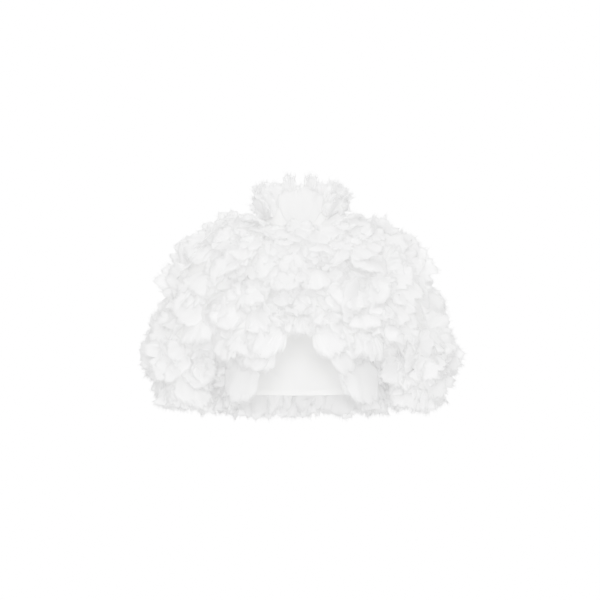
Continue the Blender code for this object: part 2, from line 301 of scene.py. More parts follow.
# threads per metre, depth of weave, size and spread of patches, sheen, light let through, raw edges or not
BACKING = (900, 0.00015, 0.06, 0.8, 0.15, 0.5, False)
ORGANZA = (1400, 0.00008, 0.02, 1.0, 0.30, 0.75, True)
backing_cloth = cloth("backing_cloth", (0.94, 0.94, 0.935), (0.97, 0.97, 0.965), *BACKING)
petal_organza = cloth("petal_organza", (0.90, 0.90, 0.90), (0.99, 0.99, 0.99), *ORGANZA)
# A greyer copy of the petal organza, for petals that lie alone: painted shade.
shaded_single_organza = cloth("shaded_single_organza", (0.855, 0.855, 0.855), (0.945, 0.945, 0.945), *ORGANZA)
print("materials:", backing_cloth.name, petal_organza.name, shaded_single_organza.name)

# %% [markdown]
# The backing shows only inside: through the cut-away fronts, up the sleeves and down the neck. It could be
# drawn again, but a merged copy of each solid is already the true panel, so that is smoothed to a fine mesh
# instead. The sharp edges are creased, because the smoothing would otherwise pull the hems and the seams
# apart.

# %% Backing panels
MERGE_ANGLE, SHAPE_ANGLE, CREASE_ANGLE = math.radians(30), math.radians(60), math.radians(45)


def linked(name, mesh, material):
    """A new object of this mesh at the origin, riding on the bolero, with its finish."""
    piece = bpy.data.objects.new(name, mesh)
    scene.collection.objects.link(piece)
    mesh.materials.append(material)
    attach(piece, "root")
    return piece


def smoothed_panel(node):
    """A fine mesh on the form of one cloth panel's solid."""
    coarse = bpy.data.meshes.new(node + "_coarse")
    bm = bmesh.new()
    bm.from_mesh(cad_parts[node].data)
    bmesh.ops.remove_doubles(bm, verts=bm.verts, dist=1e-5)
    bmesh.ops.join_triangles(bm, faces=bm.faces, angle_face_threshold=MERGE_ANGLE,
                             angle_shape_threshold=SHAPE_ANGLE)
    hold = bm.edges.layers.float.new("crease_edge")
    for edge in bm.edges:
        edge[hold] = 1.0 if edge.calc_face_angle(0) > CREASE_ANGLE else 0.0
    bm.to_mesh(coarse)
    bm.free()
    helper = bpy.data.objects.new(node + "_coarse", coarse)
    scene.collection.objects.link(helper)
    finer = helper.modifiers.new("finer", "SUBSURF")
    finer.levels = finer.render_levels = 2
    fine = bpy.data.meshes.new_from_object(helper.evaluated_get(bpy.context.evaluated_depsgraph_get()))
    bpy.data.objects.remove(helper)
    bpy.data.meshes.remove(coarse)
    fine.name = node + "_cloth"
    return fine


PANELS = ("back", "front_left", "front_right", "sleeve_left", "sleeve_right", "collar")
panel_mesh = {node: smoothed_panel(node) for node in PANELS}
print("panel faces:", {node: len(mesh.polygons) for node, mesh in panel_mesh.items()})

# %% [markdown]
# Worn cloth is never quite smooth. The soft folds are listed one by one: a row for each gives its place round
# the body and its height, how wide and how long it is, and how deep. Both faces of the wall move together,
# so it keeps its thickness.

# %% Soft folds in the backing
SLEEVE_X, UNDERARM_Z, HEM_Z = 0.206, -0.196, -0.320
FOLDS = (
    # panel, angle from the front in degrees, middle height, half width in degrees, half length, depth in mm
    ("back", 152, -0.275, 7, 0.070, -2.2), ("back", 171, -0.290, 6, 0.050, 1.6),
    ("back", 186, -0.270, 8, 0.065, -1.8), ("back", 206, -0.285, 7, 0.060, 2.0),
    ("back", 180, -0.150, 16, 0.050, 2.4), ("back", 160, -0.110, 9, 0.045, -1.6),
    ("front_left", 40, -0.260, 6, 0.060, 1.8), ("front_right", -41, -0.250, 7, 0.055, 2.0),
    ("sleeve_left", 40, -0.270, 14, 0.060, -2.4), ("sleeve_left", 120, -0.265, 12, 0.055, 2.0),
    ("sleeve_right", -46, -0.265, 13, 0.060, -2.2), ("sleeve_right", -128, -0.275, 12, 0.050, 2.2),
)


def axis_x(node):
    """Where a panel's own upright axis stands: in the middle of its sleeve, or else of the body."""
    return {"sleeve_left": SLEEVE_X, "sleeve_right": -SLEEVE_X}.get(node, 0.0)


def round_the_axis(points, node):
    """Angle round the panel's axis, in degrees from the front, of each point."""
    return np.degrees(np.arctan2(points[:, 0] - axis_x(node), -points[:, 1]))


def points_of(mesh):
    """The points of a mesh as an array."""
    points = np.empty(len(mesh.vertices) * 3)
    mesh.vertices.foreach_get("co", points)
    return points.reshape(-1, 3)


for node, angle, height, wide, long, depth in FOLDS:
    points = points_of(panel_mesh[node])
    off = (round_the_axis(points, node) - angle + 180) % 360 - 180
    swell = np.exp(-(off / wide) ** 2 - ((points[:, 2] - height) / long) ** 2) * depth * MM
    out = points - np.array((axis_x(node), 0, 0))
    out[:, 2] = 0
    out /= np.linalg.norm(out, axis=1)[:, None]
    panel_mesh[node].vertices.foreach_set("co", (points + out * swell[:, None]).ravel())
print(len(FOLDS), "folds placed")

# %% [markdown]
# The raw lower edge is turned up once and stitched, which shows as a fine step along the hem. A cut across
# the panel gives the step its edge, and the inner faces below the cut are extruded a little inwards.

# %% Turned hems
HEMMED = PANELS[:5]
HEM_TURNING, TURNING_WALL, FACES_IN = 0.011, 0.0008, -0.5


def turn_hem(mesh, node):
    """Thicken the inner face of a panel from its hem up, as far as the turning goes."""
    bm = bmesh.new()
    bm.from_mesh(mesh)
    everything = bm.verts[:] + bm.edges[:] + bm.faces[:]
    top = HEM_Z + HEM_TURNING
    bmesh.ops.bisect_plane(bm, geom=everything, dist=1e-6, plane_co=(0, 0, top), plane_no=(0, 0, 1))
    middle = Vector((axis_x(node), 0, 0))
    bm.normal_update()
    inner = []
    for face in bm.faces:
        centre = face.calc_center_median()
        arm = (centre - middle) * Vector((1, 1, 0))
        if centre.z < top and face.normal.dot(arm.normalized()) < FACES_IN:
            inner.append(face)
    raised = bmesh.ops.extrude_face_region(bm, geom=inner)["geom"]
    for vert in (part for part in raised if isinstance(part, bmesh.types.BMVert)):
        arm = ((vert.co - middle) * Vector((1, 1, 0))).normalized()
        vert.co -= arm * TURNING_WALL
    bm.to_mesh(mesh)
    bm.free()
    return len(inner)


for node in HEMMED:
    turned = turn_hem(panel_mesh[node], node)
    print(node, "has", turned, "faces in its turned hem")

# %% [markdown]
# The weave has to know where each point lay on the flat cloth. A panel is bent round an upright axis, so the
# way round it and the height serve as flat coordinates, and go into a UV map. The back's hem dips a little
# at its middle. Then the panels are done, and take the place of their solids.

# %% Flat coordinates and finished panels
COLLAR_RADIUS, PANEL_RADIUS = 0.06, 0.11
HEM_DIP, DIP_TOP, DIP_HEIGHT, DIP_HALF_WIDTH = 0.007, -0.22, 0.1, 0.16


def wrap_flat(mesh, node):
    """Flat cloth coordinates in metres: round the axis and up."""
    points = points_of(mesh)
    angle = np.radians(round_the_axis(points, node))
    corner = np.empty(len(mesh.loops), np.int64)
    mesh.loops.foreach_get("vertex_index", corner)
    first = np.empty(len(mesh.polygons), np.int64)
    count = np.empty(len(mesh.polygons), np.int64)
    mesh.polygons.foreach_get("loop_start", first)
    mesh.polygons.foreach_get("loop_total", count)
    turn = angle[corner]
    turn -= np.round((turn - np.repeat(turn[first], count)) / (2 * np.pi)) * 2 * np.pi
    radius = COLLAR_RADIUS if node == "collar" else PANEL_RADIUS
    flat = mesh.uv_layers.new(name="flat_cloth")
    flat.data.foreach_set("uv", np.column_stack((turn * radius, points[corner, 2])).ravel())


def hem_dip(x, z):
    """How much lower the back hangs at a point, most at the middle of its hem."""
    low = np.clip((DIP_TOP - z) / DIP_HEIGHT, 0, 1)
    return HEM_DIP * low * low * np.cos(np.clip(x / DIP_HALF_WIDTH, -1, 1) * np.pi / 2)


panel = {}
for node, mesh in panel_mesh.items():
    if node == "back":
        points = points_of(mesh)
        points[:, 2] -= hem_dip(points[:, 0], points[:, 2])
        mesh.vertices.foreach_set("co", points.ravel())
    wrap_flat(mesh, node)
    mesh.shade_smooth()
    mesh.set_sharp_from_angle(angle=math.radians(40))
    panel[node] = linked(node + "_cloth", mesh, backing_cloth)
    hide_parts(node)
    print(panel[node].name, len(mesh.polygons), "faces")

# %% [markdown]
# The turned hems are held by a row of small stitches, a step in from the turning's raw edge. They are alike,
# so one spindle is made with a sphere operator, and its points are copied to every place that a ray from the
# panel's axis finds on the hem.

# %% Hem stitches
STITCH_STEP, STITCH_HALF, STITCH_THICK, STITCH_INSET = 0.0036, 0.0013, 0.0003, 0.0025
SLEEVE_RADIUS, BODY_RADIUS = 0.05, 0.13
bm = bmesh.new()
bmesh.ops.create_uvsphere(bm, u_segments=6, v_segments=4, radius=1)
spindle = np.array([vert.co for vert in bm.verts]) * (STITCH_THICK, STITCH_THICK, STITCH_HALF)
spindle_faces = [[vert.index for vert in face.verts] for face in bm.faces]
bm.free()
stitches = {}
for node in HEMMED:
    mesh = panel[node].data
    corners = [vert.co for vert in mesh.vertices]
    tree = BVHTree.FromPolygons(corners, [face.vertices[:] for face in mesh.polygons])
    side = axis_x(node)
    radius = SLEEVE_RADIUS if side else BODY_RADIUS
    places, faces = [], []
    for angle in np.arange(0, 2 * math.pi, STITCH_STEP / radius):
        look = Vector((math.sin(angle), -math.cos(angle), 0))
        height = HEM_Z + HEM_TURNING - STITCH_INSET
        height -= hem_dip(radius * look.x, height) if node == "back" else 0
        spot, out, _, _ = tree.ray_cast(Vector((side, 0, height)), look)
        if spot is None or out.dot(look) > -0.3:
            continue
        along = out.cross(Vector((0, 0, 1))).normalized()
        frame_of = np.array((out, along.cross(out), along))
        faces += [[index + len(places) * len(spindle) for index in face] for face in spindle_faces]
        places.append(spindle @ frame_of + np.array(spot))
    mesh = bpy.data.meshes.new(node + "_hem_stitches")
    mesh.from_pydata(np.concatenate(places).tolist(), [], faces)
    mesh.uv_layers.new(name="flat_cloth")
    mesh.shade_smooth()
    stitches[node] = linked(node + "_hem_stitches", mesh, backing_cloth)
    print(node, len(places), "hem stitches")

# %% [markdown]
# Petals are sewn to the outside of the panels, so their roots and their clearance are measured from the
# outer faces alone. A search tree of those faces answers where a row of sewing meets the cloth, and which
# way is out there.

# %% Where the cloth's outer face is
HEART_DROP, FACES_OUT = 0.03, 0.2


def outer_tree(nodes_used):
    """A search tree of the outward faces of some panels."""
    points, faces = [], []
    for node in nodes_used:
        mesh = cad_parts[node].data
        base = len(points)
        points += [vert.co.copy() for vert in mesh.vertices]
        side = axis_x(node)
        for face in mesh.polygons:
            low = face.center.z < UNDERARM_Z or node == "collar"
            heart = Vector((side if low else 0.0, 0, face.center.z if low else UNDERARM_Z - HEART_DROP))
            if face.normal.dot((face.center - heart).normalized()) > FACES_OUT:
                faces.append([base + index for index in face.vertices])
    return BVHTree.FromPolygons(points, faces)


OUTER = {
    "all": outer_tree(PANELS), "torso": outer_tree(PANELS[:3]), "collar": outer_tree(["collar"]),
    "sleeve_left": outer_tree(["sleeve_left"]), "sleeve_right": outer_tree(["sleeve_right"]),
}
print("search trees:", list(OUTER))

# %% [markdown]
# From the neck to the underarm the bolero is a set of rings, as a pattern cutter would draw them: half a
# width, the depth to the front and back, and the height at the front, side and back. Between the rings the
# values run on a smooth curve. Below the underarm a level line round the body or the sleeve is enough.

# %% Lines of sewing
RINGS = np.array((
    # half width, front, back, height at front, side and back, in mm
    (64, 58, 60, -14, 0, 8), (110, 84, 84, -36, -3, -14), (150, 102, 100, -64, -15, -46),
    (184, 114, 111, -95, -39, -82), (209, 121, 117, -128, -80, -120), (226, 125, 119, -162, -136, -158),
    (242, 126, 119, -196, -196, -196))) * MM
BELOW, LEVEL_STEP, FAR_OUT = 0.124, 0.05, 0.4


def yoke_point(angle, level):
    """A point of the yoke: radians from the front to the wearer's left, and level, 0 neck to 1 underarm."""
    last = len(RINGS) - 1
    place = min(max(level, 0.0), 1.0) * last
    row = min(int(place), last - 1)
    t = place - row
    a, b, c, d = (RINGS[min(max(row + k, 0), last)] for k in (-1, 0, 1, 2))
    wide, front, back, z_front, z_side, z_back = 0.5 * (
        2 * b + (c - a) * t + (2 * a - 5 * b + 4 * c - d) * t * t + (3 * b - a - 3 * c + d) * t ** 3)
    ahead = math.cos(angle)
    z = z_side + ((z_front if ahead > 0 else z_back) - z_side) * ahead * ahead - max(level - 1, 0) * BELOW
    return Vector((wide * math.sin(angle), -(front if ahead > 0 else back) * ahead, z))


def sewn_at(part, angle, level):
    """The point, the way out and the way down where a petal is sewn, or None where there is no cloth."""
    if part == "yoke":
        point, out, _, _ = OUTER["all"].find_nearest(yoke_point(angle, level))
        down = yoke_point(angle, level + LEVEL_STEP) - yoke_point(angle, level)
    else:
        side = {"sleeve_left": 1, "sleeve_right": -1}.get(part, 0)
        look = Vector(((side or 1) * math.sin(angle), -math.cos(angle), 0))
        height = level * MM if part == "collar" else UNDERARM_Z - (level - 1) * BELOW
        start = Vector((side * SLEEVE_X, 0, height)) + look * FAR_OUT
        point, out, _, _ = OUTER[part].ray_cast(start, -look)
        if point is None:
            return None
        down = Vector((0, 0, -1))
    down = (down - out * down.dot(out)).normalized()
    return point, out, down


print("neck front at", [round(v, 4) for v in yoke_point(0, 0)])

# %% [markdown]
# One petal is a disc of sheer cloth, folded, gathered at its root and left raw at its edge. A cloth
# simulation of hundreds of them would take hours, so each one is a fan: a small grid in flat polar
# coordinates, with folds that open out from the root, a cupped and curled face, fine crumpling and an uneven
# edge. Every fan draws its own numbers from a seeded generator, so no two petals are alike and the result is
# the same each time.

# %% The shape of a petal
ACROSS, ALONG = 25, 7
PETAL_WALL, ROOT_HALF = 0.0004, 0.004
PLAIN_FOLDS = (1.3, 2.2, 3.1, 4.3)
RIM_WAVE, TEARS, TEAR_DEPTH, TEAR_WIDTH = 0.04, 3, 0.28, 0.06
PLEAT_RISE, CUP_RISE, CURL_RISE = 1.2, 1.6, 2.6
CRUMPLES, CRUMPLE_DEPTH, CRUMPLE_LENGTH = 3, 0.0006, (0.012, 0.022)
U = np.linspace(-1, 1, ACROSS)[None, None, :]
T = np.linspace(0, 1, ALONG)[None, :, None]


def uneven_line(rng, count, waves, fade):
    """A few random waves across each of count petals."""
    line = 0.0
    for wave in waves:
        size, shift = rng.normal(0, 1, (count, 1, 1)), rng.uniform(0, 2 * np.pi, (count, 1, 1))
        line = line + size / wave ** fade * np.sin(wave * np.pi * U + shift)
    return line


def fans(rng, length, spread, pleat, cup, curl,
         folds=PLAIN_FOLDS, rounding=0.7, arch=0.9, corner=0.3, torn=1):
    """Flat and raised coordinates of some petals: across, along and out, each by petal, row and column."""
    count = len(length)
    shape = (length, spread, pleat, cup, curl)
    length, spread, pleat, cup, curl = (np.asarray(value)[:, None, None] for value in shape)
    edge = RIM_WAVE * uneven_line(rng, count, (1, 2, 3), 0.5) - corner * np.abs(U) ** 3
    edge = edge + RIM_WAVE * spread * uneven_line(rng, count, (5, 7, 9, 11), 0.3)
    for _ in range(TEARS):
        tear, depth = rng.uniform(-0.9, 0.9, (count, 1, 1)), rng.uniform(0.0, TEAR_DEPTH, (count, 1, 1))
        edge = edge - depth * torn * np.exp(-((U - tear) / TEAR_WIDTH) ** 2)
    reach = length * T * (1 + edge * T ** 3)
    across = ROOT_HALF * U * (1 - T) + reach * np.maximum(T, 1e-6) ** (rounding - 1) * np.sin(spread * U)
    along = reach * np.cos(spread * U * arch)
    out = pleat * T ** PLEAT_RISE * uneven_line(rng, count, folds, 0.6)
    out = out + cup * U ** 2 * T ** CUP_RISE + curl * T ** CURL_RISE
    for _ in range(CRUMPLES):
        way, shift = rng.uniform(0, 2 * np.pi, (2, count, 1, 1))
        wave = 2 * np.pi / rng.uniform(*CRUMPLE_LENGTH, (count, 1, 1))
        out = out + CRUMPLE_DEPTH * T * np.sin(wave * (across * np.cos(way) + along * np.sin(way)) + shift)
    return across, along, out


rng = np.random.default_rng(1)
trial = fans(rng, [0.05], [1.0], [0.004], [-0.01], [-0.01])
print("a trial petal is", [round(float(np.ptp(v)) * 1000, 1) for v in trial], "mm across, along and out")

# %% [markdown]
# A fan still has to be put on the cloth: its root at the sewing, its length down the cloth, turned a little
# to one side and lifted off. Cloth can't pass through cloth, so points that would lie inside the panels are
# moved out to just above them.

# %% Petals onto the cloth
CLEAR = 0.0015


def stand_on_cloth(local, roots, outs, downs, twists, lifts):
    """World points of some fans, each on its own root, turned by its twist and raised by its lift."""
    across, along, out = local
    placed = np.empty(across.shape + (3,))
    for i in range(len(across)):
        normal, down = np.array(outs[i]), np.array(downs[i])
        side = np.cross(down, normal)
        axis = down * math.cos(twists[i]) + side * math.sin(twists[i])
        side = np.cross(axis, normal)
        tip = axis * math.cos(lifts[i]) + normal * math.sin(lifts[i])
        face = normal * math.cos(lifts[i]) - axis * math.sin(lifts[i])
        placed[i] = np.array(roots[i]) + normal * CLEAR
        for reach, way in ((across, side), (along, tip), (out, face)):
            placed[i] += reach[i][..., None] * way
    return placed


def kept_outside(points):
    """Move each point that lies under the outer face of the cloth to just above it."""
    for point in points.reshape(-1, 3):
        near, out, _, _ = OUTER["all"].find_nearest(Vector(point))
        depth = (Vector(point) - near).dot(out)
        if depth < CLEAR:
            point += np.array(out) * (CLEAR - depth)
    return points


print("petals keep", CLEAR * 1000, "mm off the cloth")

# %% [markdown]
# Organza has two faces. So a petal is a grid of points on each of them and a rim between, which makes it a
# closed shell. Every petal has the same grid, so the list of its faces is made once.


# %% Faces of a thin petal
def grid_normals(points):
    """Normals of each fan's grid of points."""
    n = np.cross(np.gradient(points, axis=2), np.gradient(points, axis=1))
    return n / np.maximum(np.linalg.norm(n, axis=-1, keepdims=True), 1e-12)


def wall_faces():
    """Faces of one thin petal: front grid, back grid and the rim between them."""
    index = np.arange(ALONG * ACROSS).reshape(ALONG, ACROSS)
    front = np.stack((index[:-1, :-1], index[1:, :-1], index[1:, 1:], index[:-1, 1:]), -1).reshape(-1, 4)
    rim = np.concatenate((index[0, :], index[1:, -1], index[-1, -2::-1], index[-2:0:-1, 0]))
    after = np.roll(rim, -1)
    size = ALONG * ACROSS
    between = np.stack((rim, after, after + size, rim + size), -1)
    return np.concatenate((front, front[:, ::-1] + size, between))


WALL_FACES = wall_faces()
print("one petal has", len(WALL_FACES), "faces")

# %% [markdown]
# Raw organza frays. Its threads could be hair curves, but those would be lost in an exported mesh, so each
# is a thin spike of four faces that stands out of the edge and leans a little.

# %% Frayed threads
SPIKE_FACES = np.array(((0, 1, 3), (1, 2, 3), (2, 0, 3), (0, 2, 1)))
THREAD_BEND, THREAD_LENGTH, THREAD_ROOT = 0.3, (0.002, 0.010), 0.001
THREAD_WIDE, THREAD_THIN = 0.0005, 0.00015


def frayed(rng, points, normals, per_petal):
    """Thin spikes that stand out of the raw edge of some fans."""
    count = len(points)
    column = rng.uniform(0.6, ACROSS - 1.6, (count, per_petal))
    low, part = column.astype(int), (column % 1)[..., None]
    petal = np.arange(count)[:, None]
    edge = points[petal, -1, low] * (1 - part) + points[petal, -1, low + 1] * part
    inner = points[petal, -2, low] * (1 - part) + points[petal, -2, low + 1] * part
    away = edge - inner
    away /= np.linalg.norm(away, axis=-1, keepdims=True)
    face = normals[petal, -1, low]
    side = np.cross(away, face)
    bend = rng.normal(0, THREAD_BEND, (count, per_petal, 2))
    away = away + side * bend[..., :1] + face * bend[..., 1:]
    long = rng.uniform(*THREAD_LENGTH, (count, per_petal, 1))
    wide, thin = side * THREAD_WIDE, face * THREAD_THIN
    root = edge - away * THREAD_ROOT
    corners = np.stack((root + wide, root - wide + thin, root - wide - thin, edge + away * long), 2)
    return corners.reshape(-1, 4, 3)


print("threads stand out by up to", THREAD_LENGTH[1] * 1000, "mm")

# %% [markdown]
# The petals of a row become one mesh from arrays, which is much faster than an operator for each. The flat
# coordinates go into the UV map for the weave, and the rim attribute fades from root to edge. From it the
# material paints the edge pale as a highlight and the root grey as shade.


# %% One mesh of many petals
def petal_mesh(name, rng, local, points, threads):
    """One mesh of many thin petals with frayed edges."""
    normals = grid_normals(points)
    walls = np.concatenate((points + normals * PETAL_WALL / 2, points - normals * PETAL_WALL / 2), axis=1)
    walls = walls.reshape(len(points), -1, 3)
    spikes = frayed(rng, points, normals, threads)
    base = walls.shape[0] * walls.shape[1]
    quads = (WALL_FACES[None] + (np.arange(len(walls)) * walls.shape[1])[:, None, None]).reshape(-1, 4)
    tris = (SPIKE_FACES[None] + base + (np.arange(len(spikes)) * 4)[:, None, None]).reshape(-1, 3)
    mesh = bpy.data.meshes.new(name)
    mesh.from_pydata(np.concatenate((walls.reshape(-1, 3), spikes.reshape(-1, 3))).tolist(), [],
                     quads.tolist() + tris.tolist())
    flat = np.stack((local[0], local[1]), -1).reshape(len(points), -1, 2)
    flat = np.concatenate((flat, flat), axis=1).reshape(-1, 2)
    flat = np.concatenate((flat, np.zeros((len(spikes) * 4, 2))))
    # The rim attribute is 0 at the root and 1 at the edge and on the threads. It drives the painted rim
    # highlight and root shade.
    rim = np.broadcast_to(T ** 2, local[0].shape).reshape(len(points), -1)
    rim = np.concatenate((np.concatenate((rim, rim), axis=1).ravel(), np.ones(len(spikes) * 4)))
    corner = np.empty(len(mesh.loops), np.int64)
    mesh.loops.foreach_get("vertex_index", corner)
    mesh.uv_layers.new(name="flat_cloth").data.foreach_set("uv", flat[corner].ravel())
    mesh.attributes.new("rim", "FLOAT", "POINT").data.foreach_set("value", rim)
    mesh.shade_smooth()
    return mesh


print("each petal takes", 2 * ALONG * ACROSS, "points")

# %% [markdown]
# The rows follow the solids' rows. Each solid row is two lines of sewing here: broad petals on one, and
# shorter ones, mostly fluted, which stand up in the hollows between them, on the other. At the hems those
# hang straight instead. A kind gives the ranges from which each petal draws its own shape.

# %% Rows of petals
KINDS = {
    # sway of both layers in degrees, then ranges: turn of each layer and spread in degrees, the rest in mm
    "broad": {"sway": 22, "turn": (20, 100), "spread": (46, 70),
              "pleat": (2.0, 4.5), "cup": (-5, 3), "curl": (-7, 3)},
    "fluted": {"sway": 22, "turn": (40, 135), "spread": (60, 90),
               "pleat": (3.5, 7.0), "cup": (-4, 6), "curl": (-6, 6)},
    "hanging": {"sway": 8, "turn": (5, 30), "spread": (32, 50),
                "pleat": (4.5, 8.5), "cup": (-6, 2), "curl": (-5, 4)},
}
ROW_TABLE = [
    # piece, part, from and to in degrees, two lines: kind, level, stitches, length in mm, lift in degrees
    ("yoke_petals_1", "yoke", 0, 360, ("broad", 0.04, 9, 58, 8), ("broad", 0.17, 11, 44, 12)),
    ("yoke_petals_2", "yoke", 0, 360, ("broad", 0.26, 12, 58, 11), ("fluted", 0.36, 15, 40, 18)),
    ("yoke_petals_3", "yoke", 0, 360, ("broad", 0.45, 14, 62, 15), ("fluted", 0.55, 17, 40, 22)),
    ("yoke_petals_4", "yoke", 0, 360, ("broad", 0.64, 15, 62, 22), ("fluted", 0.74, 19, 40, 29)),
    ("yoke_petals_5", "yoke", 0, 360, ("broad", 0.82, 17, 60, 34), ("fluted", 0.93, 21, 40, 40)),
    ("back_petals_1", "torso", 138, 222, ("broad", 1.08, 5, 54, 32), ("fluted", 1.24, 6, 38, 42)),
    ("back_petals_2", "torso", 130, 230, ("broad", 1.40, 5, 54, 30), ("fluted", 1.56, 7, 38, 40)),
    ("back_petals_hem", "torso", 98, 262, ("broad", 1.72, 12, 58, 20), ("hanging", 1.88, 16, 62, 9)),
]
for side in ("left", "right"):
    sleeve, row = f"sleeve_{side}", f"sleeve_petals_{side}_"
    ROW_TABLE += [
        (row + "1", sleeve, -32, 212, ("broad", 1.10, 6, 54, 38), ("fluted", 1.25, 8, 38, 48)),
        (row + "2", sleeve, -44, 224, ("broad", 1.40, 7, 54, 35), ("fluted", 1.56, 9, 38, 42)),
        (row + "hem", sleeve, -44, 224, ("broad", 1.70, 8, 48, 23), ("hanging", 1.86, 12, 48, 9)),
    ]
print(len(ROW_TABLE), "rows of petals")

# %% [markdown]
# Sowing goes from stitch to stitch along the cloth. At each stitch two layers are turned apart, so that the
# petals lie every way, as on the real bolero. The list of sown petals grows first, and the meshes are made
# from it later.

# %% Sowing the rows
ROW_SEED, STITCH_JITTER, LEVEL_JITTER = 100, 0.25, 0.04
LIFT_JITTER, LAYER_LIFT, CUT_JITTER = (-3, 5), 5, (0.84, 1.08)
BACK_END_CUT, SLEEVE_SIDE_CUT, OVER_OPENING = 0.22, 0.25, 0.6
OPENING_LEVEL, OPENING_HALF = 0.8, 0.05
sown = {}


def sow(piece, spot, twist, lift, length, spread, pleat, cup, curl):
    """Note one petal: where it is sewn, how it is turned and lifted, and its shape, in mm and degrees."""
    twist, lift, spread = (math.radians(angle) for angle in (twist, lift, spread))
    length, pleat, cup, curl = (size * MM for size in (length, pleat, cup, curl))
    sown.setdefault(piece, []).append((spot, twist, lift, length, spread, pleat, cup, curl))


def drawn_shape(rng, kind):
    """Spread, pleat, cup and curl of one petal of a kind, drawn at random."""
    return [rng.uniform(*KINDS[kind][key]) for key in ("spread", "pleat", "cup", "curl")]


def evenly_round(part, level, begin, stop):
    """A function from shares of the way between two angles, measured along the cloth, to angles."""
    angles = np.radians(np.linspace(begin, stop, 73))
    spots = [sewn_at(part, angle, level) for angle in angles]
    steps = [0.0]
    for one, two in zip(spots, spots[1:]):
        steps.append(steps[-1] + ((two[0] - one[0]).length if one and two else 0.0))
    return lambda share: float(np.interp(share * steps[-1], steps, angles))


def cut_length(rng, kind, part, length, share, above_opening):
    """A petal's own length: uneven, shorter above the opening and at some places of the hems."""
    off_middle = abs(2 * share - 1)
    short = BACK_END_CUT * off_middle ** 3 if part == "torso" else SLEEVE_SIDE_CUT * (1 - off_middle) ** 2
    cut = length * rng.uniform(*CUT_JITTER) * (1 - short * (kind == "hanging"))
    return cut * OVER_OPENING if above_opening else cut


def twist_limit(level):
    """How far a petal may turn from straight down, in degrees: least at the neck, lest it stick up."""
    if level < 0.2:
        return 55
    return 95 if level < 0.5 else 150


for seed, (piece, part, begin, stop, *lines) in enumerate(ROW_TABLE):
    rng = np.random.default_rng(ROW_SEED + seed)
    for kind, level, count, length, lift in lines:
        angle_at, limit = evenly_round(part, level, begin, stop), twist_limit(level)
        for i in range(count):
            share = (i + 0.5 + rng.uniform(-STITCH_JITTER, STITCH_JITTER)) / count
            spot = sewn_at(part, angle_at(share), level + rng.uniform(-LEVEL_JITTER, LEVEL_JITTER))
            if spot is None:
                continue
            above_opening = part == "yoke" and level > OPENING_LEVEL and spot[0].y < 0
            above_opening = above_opening and abs(spot[0].x) < OPENING_HALF
            sway, way = rng.normal(0, KINDS[kind]["sway"]), rng.choice((-1, 1))
            for layer in (0, 1):
                twist = sway + way * (1 - 2 * layer) * rng.uniform(*KINDS[kind]["turn"])
                tilt = lift + rng.normal(*LIFT_JITTER) + LAYER_LIFT * layer
                cut = cut_length(rng, kind, part, length, share, above_opening)
                sow(piece, spot, np.clip(twist, -limit, limit), tilt, cut, *drawn_shape(rng, kind))
print("petals in rows:", sum(len(petals) for petals in sown.values()))

# %% [markdown]
# Some petals are placed one by one, because the eye knows them: the large smooth ones on the shoulders and
# sleeves, those folded along the cut-away fronts, and those at the lower corners. Each is a row of the
# table, drawn for the wearer's left and mirrored for the right, with a second, smaller layer under it.

# %% Petals placed one by one
HAND_TABLE = {
    # by piece: x and height in mm, twist and lift in degrees, length in mm, spread in degrees, and the pleat,
    # cup and curl in mm
    "front_petals_{}_1": (
        (10, -172, -8, 20, 38, 60, 4, -2, -3), (30, -190, -38, 27, 72, 29, 2.2, -3, -7),
        (60, -188, -16, 22, 54, 48, 3, -4, -5), (92, -196, -4, 34, 56, 54, 5, -4, -4),
        (126, -202, 10, 40, 54, 54, 5, -4, -4), (146, -212, -16, 48, 54, 54, 5, -4, -4),
        (76, -212, -34, 21, 46, 46, 3, -4, -4),
    ),
    "front_petals_{}_2": (
        (54, -216, -38, 27, 66, 30, 2.2, -3, -7), (88, -222, -24, 20, 44, 48, 3, -4, -4),
        (118, -226, -6, 32, 48, 54, 5, -4, -4), (142, -244, -24, 46, 52, 54, 5, -4, -4),
        (138, -262, -14, 38, 46, 50, 4.5, -4, -4), (146, -240, 20, 52, 50, 56, 4.5, -4, -4),
    ),
    "front_petal_{}_hem": (
        (100, -246, -3, 17, 86, 43, 3.2, -2, -4), (134, -280, -14, 26, 48, 44, 4, -4, -4),
        (122, -292, 4, 8, 56, 17, 8, 0, 0), (136, -296, -8, 10, 54, 16, 8, 0, 0),
        (146, -276, -20, 48, 48, 52, 4, -4, -4),
    ),
    "yoke_petals_1": (
        (60, -2, -38, 24, 58, 48, 2.4, -4, -4), (24, -8, -14, 18, 62, 50, 2.0, -4, -5),
        (8, -11, 58, 22, 36, 58, 3, 0, 0),
    ),
    "yoke_petals_2": (
        (96, -40, -24, 30, 62, 48, 2.4, -4, -5),
    ),
    "yoke_petals_3": (
        (128, -60, 25, 32, 68, 46, 2.4, -4, -5), (28, -84, 14, 30, 58, 50, 2.4, -4, -5),
    ),
    "yoke_petals_4": (
        (172, -112, -30, 36, 60, 48, 2.4, -4, -5), (96, -118, 30, 34, 60, 50, 2.4, -4, -5),
    ),
    "yoke_petals_5": (
        (178, -172, 8, 38, 68, 48, 2.0, -7, -9), (120, -150, -24, 36, 58, 50, 2.4, -4, -5),
        (9, -128, 6, 26, 48, 50, 2.4, -3, -4),
    ),
    "sleeve_petals_{}_2": (
        (206, -252, 40, 38, 64, 48, 2.4, -4, -5), (180, -262, -34, 38, 58, 50, 2.4, -4, -5),
    ),
    "sleeve_petals_{}_hem": (
        (200, -290, 14, 30, 54, 50, 2.4, -4, -5),
    ),
}
HAND_SEED, TORSO_HALF, TORSO_TOP, FAR_FRONT = 200, 150, -180, -0.5
UNDER_TURN, UNDER_DROP, UNDER_SHORTER = (8, 24), 7, 0.15


